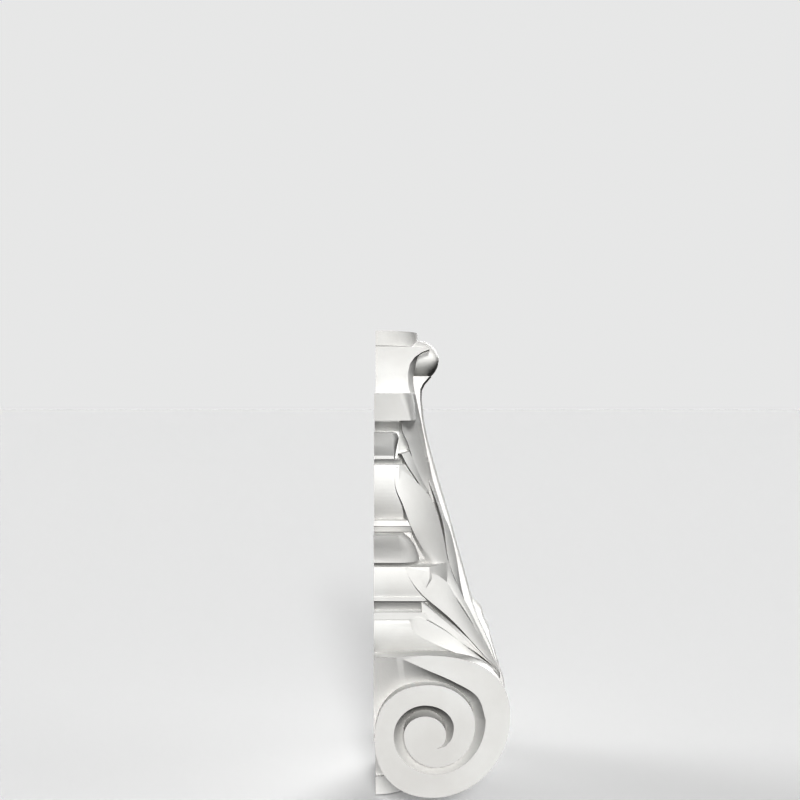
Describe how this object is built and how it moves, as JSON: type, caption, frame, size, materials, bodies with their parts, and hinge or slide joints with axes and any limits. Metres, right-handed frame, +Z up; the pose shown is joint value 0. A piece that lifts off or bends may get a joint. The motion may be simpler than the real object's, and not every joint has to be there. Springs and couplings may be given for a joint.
{
  "type": "carved corbel",
  "caption": "Tall scrolled wall corbel with a spiral volute on each side, wrapped leaf lobes, stepped side mouldings and a half-round plinth.",
  "frame": {"origin": "middle of the flat back face, where the corbel is fixed to the wall", "axes": "+Z up along the corbel's length, +X across its width, +Y out of the back face into the wall; the carving projects towards -Y"},
  "size_m": [0.178, 0.109, 0.39],
  "materials": {
    "stone": "smooth satin-matt white carved stone"
  },
  "bodies": {
    "root": {"corbel": "stone"}
  },
  "joints": []
}
